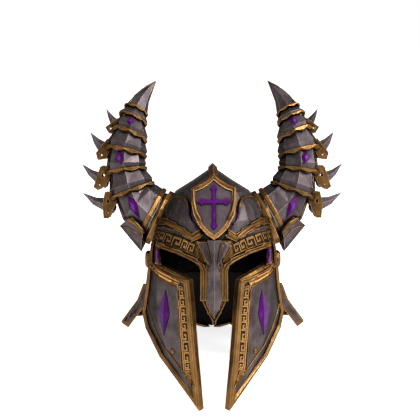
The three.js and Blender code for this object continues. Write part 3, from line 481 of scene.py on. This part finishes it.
def softened():
    """A node group that shades shallow angles round and leaves the real edges sharp."""
    if "soft shading" in bpy.data.node_groups:
        return bpy.data.node_groups["soft shading"]
    group = bpy.data.node_groups.new("soft shading", "GeometryNodeTree")
    group.interface.new_socket("Geometry", in_out="INPUT", socket_type="NodeSocketGeometry")
    group.interface.new_socket("Geometry", in_out="OUTPUT", socket_type="NodeSocketGeometry")
    mesh = node(group, "NodeGroupInput").outputs[0]
    angle = node(group, "GeometryNodeInputMeshEdgeAngle").outputs["Unsigned Angle"]
    sharp = node(group, "FunctionNodeCompare", {"A": angle, "B": ROUND_ANGLE},
                 data_type="FLOAT", operation="GREATER_THAN")
    whole = node(group, "GeometryNodeSetShadeSmooth", {"Geometry": mesh, "Shade Smooth": True},
                 domain="FACE")
    split = node(group, "GeometryNodeSetShadeSmooth", {
        "Geometry": whole.outputs[0], "Selection": sharp.outputs[0], "Shade Smooth": False},
        domain="EDGE")
    node(group, "NodeGroupOutput", {0: split.outputs[0]})
    return group


def dressed(name, material, bevel, soft):
    """One of the frame's solids with its real finish and its edges broken by bevel mm."""
    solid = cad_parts[name]
    if not solid.material_slots:
        solid.data.materials.append(None)
    for slot in solid.material_slots:
        slot.link = "OBJECT"
        slot.material = bpy.data.materials[material]
    if bevel:
        edges = solid.modifiers.new("broken edges", "BEVEL")
        edges.width = bevel * MM
        edges.segments = 2
        edges.limit_method = "ANGLE"
        edges.angle_limit = EDGE_ANGLE
        edges.harden_normals = not soft
        edges.use_clamp_overlap = True
    if soft:
        shade = solid.modifiers.new("soft shading", "NODES")
        shade.node_group = softened()


# ---- Settings


class HelmetFinish(PropertyGroup):
    """Colours of the helmet's metals and enamel."""

    steel: FloatVectorProperty(
        name="Steel", description="Burnished steel of the bowl and plates", subtype="COLOR",
        size=4, min=0, max=1, default=linear("#373031"))
    horn_steel: FloatVectorProperty(
        name="Horn steel", description="Fire-blackened steel of the horns", subtype="COLOR",
        size=4, min=0, max=1, default=linear("#3a3335"))
    field_steel: FloatVectorProperty(
        name="Field steel", description="Blackened steel behind the cross", subtype="COLOR",
        size=4, min=0, max=1, default=linear("#352d30"))
    bronze: FloatVectorProperty(
        name="Bronze", description="Aged cast bronze of the rims and bands", subtype="COLOR",
        size=4, min=0, max=1, default=linear("#503920"))
    enamel: FloatVectorProperty(
        name="Enamel", description="Purple glass enamel of the cross and stones",
        subtype="COLOR", size=4, min=0, max=1, default=linear("#330244"))


class HelmetSizes(PropertyGroup):
    """Sizes of the trim."""

    border: FloatProperty(
        name="Border", description="Width of the border and inlay on the brow plates, in mm",
        default=3.4, min=1, max=6)
    rivet: FloatProperty(
        name="Rivet", description="Radius of a rivet head on the horns, in mm",
        default=2.3, min=1, max=5)
    stud: FloatProperty(
        name="Stud", description="Radius of the round stud on each cheek plate, in mm",
        default=4.2, min=2, max=8)
    steel_bevel: FloatProperty(
        name="Broken edge", description="Width that the metal's edges are broken by, in mm",
        default=0.6, min=0, max=2)


# ---- Operators: lines of trim are rows of x, y in the photograph's pixels


class HELMET_OT_finishes(Operator):
    """Make the metals and the enamel"""

    bl_idname = "helmet.finishes"
    bl_label = "Finishes"

    def execute(self, context):
        f = context.scene.helmet_finish
        # Carbon steel, forged and burnished: dark from the fire and greyer where rubbed, with
        # painted shade in its joints, a painted highlight on its edges and near-black painted
        # shade on the inside
        worn_metal("burnished steel", f.steel, linear("#524a4a"), linear("#96898a"),
                   linear("#0e0b0a"), rough=(0.3, 0.52), sheen=0.85, inner_shade=True, edge=0.0008)
        # The same steel as one large sheet with its edges under the rim: no edge is rubbed or
        # given a painted highlight, and the inside has the same painted shade
        worn_metal("burnished sheet steel", f.steel, linear("#524a4a"), linear("#5c5353"),
                   linear("#0e0b0a"), rough=(0.3, 0.52), sheen=0.85, inner_shade=True, edge=0.0001)
        # The same steel on the horns, left as the fire blackened it: a shade paler and cooler
        worn_metal("fire-blackened steel", f.horn_steel, linear("#554c4d"), linear("#948788"),
                   linear("#0e0b0c"), rough=(0.3, 0.52), sheen=0.85)
        # Steel blackened in oil behind the cross: dark and even
        worn_metal("oil-blackened steel", f.field_steel, linear("#443b3f"), linear("#6d6466"),
                   linear("#0f0c0d"), rough=(0.4, 0.6), sheen=0.8)
        # Cast bronze, with brown painted shade in its grooves and joints and its edges rubbed to
        # gold with a painted highlight
        worn_metal("aged bronze", f.bronze, linear("#76552e"), linear("#c79861"),
                   linear("#150c05"), rough=(0.28, 0.48), sheen=0.9, groove=0.0026)
        # Bronze blackened with liver of sulphur, the ground behind the key pattern
        worn_metal("blackened bronze", linear("#1d140c"), linear("#2c1e11"), linear("#4d3720"),
                   linear("#0c0805"), rough=(0.4, 0.6), sheen=0.8)
        # Purple glass fired on the metal in a thick coat: deep, with a soft shine
        glass_enamel("fired glass enamel", f.enamel, linear("#440750"))
        # The same glass smoked by the kiln, in the brow's inlay: brown and dull
        glass_enamel("smoked glass enamel", linear("#33192f"), linear("#46263f"))
        # Paler glass over the middle of the horns' stones: a painted highlight
        glass_enamel("pale glass enamel", linear("#451a5c"), linear("#61357c"))
        return {"FINISHED"}


class HELMET_OT_solids(Operator):
    """Give the helmet's solids their finishes and break their edges"""

    bl_idname = "helmet.solids"
    bl_label = "Solids"

    def execute(self, context):
        bevel = context.scene.helmet_sizes.steel_bevel
        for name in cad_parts:
            rows = (row[1:] for row in FINISHES if name.startswith(row[0]))
            material, width, soft = next(rows, OTHERS)
            dressed(name, material, bevel if width is None else width, soft)
        return {"FINISHED"}


class HELMET_OT_brow_trim(Operator):
    """Lay the border and inlay on the brow plates, and the lines, the painted shade under the
    ridge and the dark key ground of the bands
    """

    bl_idname = "helmet.brow_trim"
    bl_label = "Brow trim"

    def execute(self, context):
        width = context.scene.helmet_sizes.border
        plate = ("brow_plate_left",)
        arch = ((166.4, 211.5), (167.2, 206), (169.5, 200.8), (172.6, 197.8), (176.5, 196.7),
                (181, 196.8), (184.8, 199.2), (187.2, 203.4), (188.1, 208))
        trim("brow_border", plate, arch, half_round(width, 1.5), *BRONZE)
        inlay = ((188.1, 208), (188.7, 213.6), (191.8, 220.8), (196.2, 227.2), (199.6, 231))
        trim("brow_inlay", plate, inlay, half_round(width, 1.0), *SMOKED_ENAMEL)
        band = ("brow_band_left",)
        ridge = ((160.5, 219.6), (168, 222.8), (175.4, 226), (183.5, 231.2), (191.4, 238.6),
                 (200.6, 232.8))
        trim("brow_ridge_bead", band, ridge, roof(5.4, 2.4), *BRONZE)
        # A strip of dark steel under the ridge: painted shade
        plated("brow_ridge_shade_strip", band, ((160, 226.2), (176, 231.4), (189.4, 239.6)),
               ((160, 230), (170, 232), (181, 235.8), (190, 241)), 0.5, *SHADE_STEEL, rows=16)
        under = ((157.5, 242.5), (166, 244.3), (175, 247.4), (184, 250.4), (192, 254),
                 (199, 258.6))
        trim("key_border", band, under, half_round(1.9, 1.1), *BRONZE)
        above = ((157, 230.6), (163, 231.2), (175, 233.4), (187, 236.8), (195.6, 241.6))
        below = ((157.5, 241.2), (166, 243), (175, 246), (184, 249), (195.6, 254.2))
        plated("brow_key_ground", ("crown_shell",), above, below, 3.1, *DARK_BRONZE, rows=20,
               columns=4)
        return {"FINISHED"}


class HELMET_OT_eye_trim(Operator):
    """Lay the bead round the eye and the purple inlay at its outer corner"""

    bl_idname = "helmet.eye_trim"
    bl_label = "Eye trim"

    def execute(self, context):
        band = ("brow_band_left",)
        bead = ((161, 247.4), (170, 250), (181, 254.4), (192, 260), (199.6, 264.8),
                (203.2, 270.6), (203.4, 285), (203.4, 302.6), (207.6, 311), (213.6, 322.4))
        trim("eye_bead", band, bead, half_round(2.6, 1.5), *BRONZE)
        inlay = ((158, 249.2), (157.6, 257), (159.4, 263))
        trim("eye_inlay", band, inlay, flat_strip(5, 1.6), *ENAMEL)
        return {"FINISHED"}


class HELMET_OT_emblem_trim(Operator):
    """Lay the ridged moulding on the emblem's rim"""

    bl_idname = "helmet.emblem_trim"
    bl_label = "Emblem trim"

    def execute(self, context):
        half = ((213.9, 176.2), (207.6, 181.2), (200.8, 185.2), (193.2, 188.2), (193.5, 201.5),
                (195.8, 211.4), (201.4, 221.4), (207.4, 228.6), (213.9, 234.2))
        trim("emblem_moulding", ("emblem_rim",), half, roof(4.4, 1.6), *BRONZE)
        return {"FINISHED"}


class HELMET_OT_nasal_face(Operator):
    """Lay the steel keel and the lined steel panels of the fan on the bronze nose guard"""

    bl_idname = "helmet.nasal_face"
    bl_label = "Nose guard face"

    def execute(self, context):
        # Keel rows in mm: z, half width, how far forward the sides and the ridge stand. The
        # sides reach back into the nose guard by foot.
        foot = 5
        rows = ((-31.6, 9, 124.2, 128.6), (-50, 7.4, 125.4, 130.4), (-67, 5.4, 126.4, 131),
                (-77, 7.4, 126.2, 131), (-92, 8.8, 126, 131.2), (-111, 10, 125.9, 131.4),
                (-124, 5.6, 126, 129.6), (-133.6, 1, 124.8, 127.8))
        rings = []
        for z, half, side, ridge in rows:
            rings.append([placed((x, -y, z)) for x, y in (
                (-half, side - foot), (-half, side), (0, ridge), (half, side),
                (half, side - foot))])
        piece("nasal_keel_face", *skinned(rings), *STEEL, smooth=False)
        fan = ("nasal",)
        side = ((195.6, 242.4), (203.8, 258.4), (208.8, 270.8))
        inner = ((205, 238.8), (208.4, 250.6), (210.9, 263.4))
        plated("nasal_fan_panel", fan, side, inner, 0.7, *STEEL)
        trim("nasal_fan_line", fan, side, roof(2.8, 1.7), *BRONZE)
        trim("nasal_fan_inner", fan, inner, roof(1.6, 1.5), *BRONZE)
        return {"FINISHED"}


class HELMET_OT_horn_root(Operator):
    """Set the bronze rim round each horn's root, and the lip and line on the cuff under it"""

    bl_idname = "helmet.horn_root"
    bl_label = "Horn root"

    def execute(self, context):
        # The rim's place from the first horn station to the second, and its section in mm: out
        # from the horn and along it
        share = 0.16
        section = ((-1, -3.4), (1.3, -3.4), (2.1, -2), (2.1, 2), (1.3, 3.4), (-1, 3.4))
        station = tuple(a + (b - a) * share for a, b in zip(HORN[0], HORN[1]))
        rings = [horn_ring(station, station[3] + out, up, HORN_SIDES) for out, up in section]
        pair("horn_root_rim", *mirrored(*skinned(rings, closed=True)), *BRONZE, smooth=False)
        skirt = ("horn_skirt_left", "horn_lame_1_left")
        lip = ((125.3, 218.9), (128.7, 219.4), (135.9, 223.6), (140.3, 228.6), (143.7, 233.3))
        trim("skirt_lip", skirt, lip, half_round(6.4, 2.6), *BRONZE)
        line = ((122, 226.8), (126.4, 226.4), (134.2, 230.6), (139.8, 236.6), (143.6, 242.2))
        trim("skirt_line", skirt, line, half_round(1.8, 1.0), *BRONZE)
        return {"FINISHED"}


class HELMET_OT_horn_rings(Operator):
    """Set the thin wavy rings below each horn's tip and the bronze strips along its back"""

    bl_idname = "helmet.horn_rings"
    bl_label = "Horn rings"

    def execute(self, context):
        # A ring's section in mm: out from the horn, along it, and half the height of its waves
        section = ((-3.6, 0.6, 0), (1.2, 0.4, 0), (2, -1, 0.3), (1.6, -2.8, 0.9),
                   (-3.6, -3.4, 0.9))
        parts = []
        for station in (HORN[6], HORN[7]):
            rings = [horn_ring(station, station[3] + out, up, RING_SIDES, wave)
                     for out, up, wave in section]
            parts.append(skinned(rings, closed=True))
        horn = ("horn_tip_left", "horn_lame_1_left", "horn_lame_2_left", "horn_lame_3_left")
        strips = (((129.8, 103), (135, 95.6), (142.4, 89.2), (149.8, 84.8), (154.6, 82.6)),
                  ((117.8, 201.4), (121.4, 208.6), (125.8, 216.4)),
                  ((111.6, 172), (112.2, 182), (113.8, 190)),
                  ((109.4, 147), (108.8, 156), (109.6, 164)))
        for i, line in enumerate(strips, 1):
            trim(f"horn_spine_{i}", horn, line, half_round(1.9, 1.2), *BRONZE)
        pair("horn_thin_rings", *mirrored(*joined(parts)), *BRONZE, smooth=False)
        return {"FINISHED"}


class HELMET_OT_rivets(Operator):
    """Set the rivets on the horns and the round studs on the cheek plates"""

    bl_idname = "helmet.rivets"
    bl_label = "Rivets and studs"

    def execute(self, context):
        sizes = context.scene.helmet_sizes
        # The heights of a rivet and of a stud, in mm
        rivet_rise, stud_rise = 1.6, 2.2
        heads = ((155.4, 198.5), (112.6, 188.5), (142.7, 130.7), (141.6, 146.7), (143.6, 117.5),
                 (124.4, 114.6), (115.2, 130.7), (127.2, 151), (143.9, 162.2), (151, 178.5))
        horn = carrier(*(f"horn_lame_{i}_left" for i in range(1, 7)))
        parts = [dome(*seen(*place, horn), sizes.rivet, rivet_rise) for place in heads]
        pair("horn_rivets", *joined(parts), *BRONZE)
        middle = seen(172.2, 351.3, carrier("cheek_plate_left"))
        stud = dome(*middle, sizes.stud, stud_rise, sides=16, steps=5)
        pair("cheek_stud", *stud, *BRONZE)
        return {"FINISHED"}


class HELMET_OT_stones(Operator):
    """Set a paler, raised middle on each horn stone: a painted highlight"""

    bl_idname = "helmet.stones"
    bl_label = "Stones"

    def execute(self, context):
        # The middle's size as a share of the stone's, and how far it is raised in mm
        share, lift = 0.42, 0.5
        for i in (1, 2, 3):
            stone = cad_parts[f"horn_gem_{i}_left"].data
            out = sum((p.normal * p.area for p in stone.polygons if p.normal.y < 0), Vector())
            out.normalize()
            peak = max((v.co for v in stone.vertices), key=out.dot)
            points = [peak + (v.co - peak) * share + out * lift * MM for v in stone.vertices]
            faces = [list(p.vertices) for p in stone.polygons]
            pair(f"horn_stone_{i}", points, faces, *HIGHLIGHT_ENAMEL, smooth=False)
        return {"FINISHED"}


class HELMET_OT_cheek_trim(Operator):
    """Lay the mouldings and fields of the cheek plates, and the panel on the neck rim's front"""

    bl_idname = "helmet.cheek_trim"
    bl_label = "Cheek trim"

    def execute(self, context):
        cheek = ("cheek_plate_left", "cheek_rim_left")
        top = ((152.4, 260.8), (156.4, 267), (163.6, 271.8), (175, 277.2), (188, 281.4))
        trim("cheek_top_bead", cheek, top, half_round(2.6, 1.6), *BRONZE)
        low = ((150.9, 269.4), (157.9, 277.4), (167, 282.4), (176.4, 287.4))
        plated("cheek_top_field", cheek, ((151.6, 262), (156, 268), (165, 273), (181, 279.8)), low,
               0.5, *BRONZE)
        middle = ((151.8, 265.4), (157.2, 272), (165.4, 277), (178.6, 283))
        trim("cheek_middle_line", cheek, middle, half_round(1.8, 1.5), *BRONZE)
        plated("cheek_tip_field", cheek, ((181.6, 370.6), (192.4, 387.4)),
               ((188.6, 370.6), (194, 387.4)), 0.9, *BRONZE)
        trim("cheek_top_line", cheek, low, half_round(1.9, 1.2), *BRONZE)
        key = ((177.2, 290), (181.4, 369.3), (192.6, 387.6))
        trim("cheek_key_bead", cheek, key, half_round(2.4, 1.5), *BRONZE)
        ground = ("cheek_plate_left",)
        plated("cheek_key_ground", ground, ((178.4, 291.4), (183, 369)),
               ((185.4, 291.4), (189.4, 369)), 1.35, *DARK_BRONZE, rows=24)
        rim = ((147.1, 303.6), (149.3, 312.1), (155, 329.3), (163.6, 346.4), (180.7, 369.3),
               (192.6, 387.6))
        trim("cheek_rim_bead", cheek, rim, half_round(2.2, 1.4), *BRONZE)
        wing = ("neck_rim", "neck_guard")
        plated("wing_panel", wing, ((144.8, 287), (140.2, 298.4), (124.2, 320.4)),
               ((146.8, 291.4), (142.8, 303.8), (127.4, 323.6)), 0.6, *STEEL)
        return {"FINISHED"}


class HELMET_OT_neck_joint(Operator):
    """Back the joint between the bowl and the neck guard with a dark strip on the inside"""

    bl_idname = "helmet.neck_joint"
    bl_label = "Neck joint"

    def execute(self, context):
        bowl, guard = carrier("crown_shell"), carrier("neck_guard")
        # Where it is measured from in metres, how far it goes to each side of the back and by
        # what step in degrees, and the heights in mm that are searched for the bowl's edge
        start, side, step, heights = Vector((0, 0.02, 0)), 60, 4, range(40, 150)
        # How far the strip goes below and above the edge in mm, and its thickness and its
        # gap to the walls in metres
        drop, rise, thick, gap = 6, 7, 0.001, 0.0004
        rings = []
        for degrees in range(-side, side + 1, step):
            way = Vector((math.sin(math.radians(degrees)), math.cos(math.radians(degrees)), 0))
            reaches = {}
            for z in heights:
                hits = [s.ray_cast(start + Vector((0, 0, z * MM)), way)[3] for s in (bowl, guard)]
                if hits[0] is not None:
                    reaches[z] = min(h for h in hits if h is not None)
            edge = min(reaches)
            reach = min(reaches[z] for z in range(edge, edge + rise + 1))
            below = guard.ray_cast(start + Vector((0, 0, (edge - drop) * MM)), way)[3]
            inner = min(reach, below or reach) - gap
            rings.append([
                start + way * (inner - depth) + Vector((0, 0, (edge + up) * MM))
                for depth, up in ((0, -drop), (0, rise), (thick, rise), (thick, -drop))
            ])
        piece("neck_joint_strip", *skinned(rings), *SHEET_STEEL, smooth=False)
        return {"FINISHED"}


class HELMET_OT_stage(Operator):
    """Set the pale floor, the soft studio light and the camera"""

    bl_idname = "helmet.stage"
    bl_label = "Stage"

    def execute(self, context):
        scene = context.scene
        # Opal acrylic of a shooting table, lit from below so that it looks white
        acrylic = fresh("lit opal acrylic")
        tree = acrylic.node_tree
        at = node(tree, "ShaderNodeTexCoord").outputs["Object"]
        # Fine haze of the acrylic, about 4 mm
        haze = node(tree, "ShaderNodeTexNoise", {"Vector": at, "Scale": 250.0, "Detail": 2.0})
        bump = node(tree, "ShaderNodeBump", {"Height": haze.outputs["Fac"], "Strength": 0.03,
                                             "Distance": 0.0003})
        skin = node(tree, "ShaderNodeBsdfPrincipled", {
            "Base Color": linear("#f7f7f7"), "Roughness": 0.9, "Normal": bump.outputs["Normal"],
            "Emission Color": linear("#ffffff"), "Emission Strength": 0.75})
        node(tree, "ShaderNodeOutputMaterial", {"Surface": skin.outputs["BSDF"]})
        # The floor in metres: half its width, its near and far edges, and its level, just
        # below what stands on it
        half, near, far, level = 8, -4, 14, -0.0004
        corners = [(-half, near, level), (half, near, level), (half, far, level),
                   (-half, far, level)]
        mesh = bpy.data.meshes.new("floor")
        mesh.from_pydata(corners, [], [(0, 1, 2, 3)])
        mesh.materials.append(acrylic)
        floor = bpy.data.objects.new("floor", mesh)
        scene.collection.objects.link(floor)

        world = bpy.data.worlds.new("white studio")
        scene.world = world
        world.use_nodes = True
        world.node_tree.nodes.clear()
        # A white backdrop to look at. The light comes from a dim room with a paler ceiling
        # and a paler wall to the right
        tree = world.node_tree
        way = node(tree, "ShaderNodeTexCoord").outputs["Generated"]
        split = node(tree, "ShaderNodeSeparateXYZ", {"Vector": way})
        window = node(tree, "ShaderNodeMapRange", {"Value": split.outputs["X"], "From Min": 0.3,
                                                   "From Max": 0.8, "To Min": 0.36,
                                                   "To Max": 1.1})
        ceiling = node(tree, "ShaderNodeMapRange", {"Value": split.outputs["Z"], "From Min": 0.35,
                                                    "From Max": 0.8, "To Max": 0.4})
        room = node(tree, "ShaderNodeMath", {0: window.outputs[0], 1: ceiling.outputs[0]})
        looked_at = node(tree, "ShaderNodeLightPath").outputs["Is Camera Ray"]
        strength = node(tree, "ShaderNodeMath", {0: room.outputs["Value"], 1: looked_at},
                        operation="MAXIMUM")
        sky = node(tree, "ShaderNodeBackground", {"Color": linear("#ffffff"),
                                                  "Strength": strength.outputs["Value"]})
        node(tree, "ShaderNodeOutputWorld", {"Surface": sky.outputs["Background"]})

        # Softboxes: place and size in metres, power in watts. All face the helmet's middle.
        boxes = (("key", (0.75, -1.0, 1.7), 0.7, 46), ("fill", (-1.3, -0.9, 0.6), 1.0, 4),
                 ("side", (1.4, -0.1, 1.2), 0.6, 22))
        middle = Vector((0, 0, 0.22))
        for name, spot, size, power in boxes:
            lamp = bpy.data.lights.new(name, "AREA")
            lamp.size = size
            lamp.energy = power
            box = bpy.data.objects.new(name, lamp)
            box.location = spot
            box.rotation_mode = "QUATERNION"
            box.rotation_quaternion = (middle - Vector(spot)).to_track_quat("-Z", "Y")
            scene.collection.objects.link(box)

        eye, _, _, back = photo_eye()
        lens = bpy.data.cameras.new("photo camera")
        lens.sensor_fit = "HORIZONTAL"
        lens.lens = lens.sensor_width * PHOTO_FOCAL / PHOTO_SIDE
        camera = bpy.data.objects.new("photo camera", lens)
        camera.location = placed(eye)
        camera.rotation_mode = "QUATERNION"
        camera.rotation_quaternion = (-turned(back)).to_track_quat("-Z", "Y")
        scene.collection.objects.link(camera)
        scene.camera = camera
        scene.view_settings.view_transform = "Standard"
        return {"FINISHED"}


STEPS = (
    HELMET_OT_finishes,
    HELMET_OT_solids,
    HELMET_OT_brow_trim,
    HELMET_OT_eye_trim,
    HELMET_OT_emblem_trim,
    HELMET_OT_nasal_face,
    HELMET_OT_horn_root,
    HELMET_OT_horn_rings,
    HELMET_OT_rivets,
    HELMET_OT_stones,
    HELMET_OT_cheek_trim,
    HELMET_OT_neck_joint,
    HELMET_OT_stage,
)


class HELMET_PT_sidebar(Panel):
    """The helmet's pieces and settings"""

    bl_label = "Horned Helmet"
    bl_space_type = "VIEW_3D"
    bl_region_type = "UI"
    bl_category = "Helmet"

    def draw(self, context):
        for settings in (context.scene.helmet_finish, context.scene.helmet_sizes):
            for key in settings.__annotations__:
                self.layout.prop(settings, key)
        for step in STEPS:
            self.layout.operator(step.bl_idname)


CLASSES = (HelmetFinish, HelmetSizes, *STEPS, HELMET_PT_sidebar)


def register():
    for cls in CLASSES:
        bpy.utils.register_class(cls)
    bpy.types.Scene.helmet_finish = PointerProperty(type=HelmetFinish)
    bpy.types.Scene.helmet_sizes = PointerProperty(type=HelmetSizes)


def unregister():
    del bpy.types.Scene.helmet_sizes
    del bpy.types.Scene.helmet_finish
    for cls in reversed(CLASSES):
        bpy.utils.unregister_class(cls)


def main():
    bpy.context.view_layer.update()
    register()
    for step in STEPS:
        group, name = step.bl_idname.split(".")
        getattr(getattr(bpy.ops, group), name)()


if __name__ == "__main__":
    main()
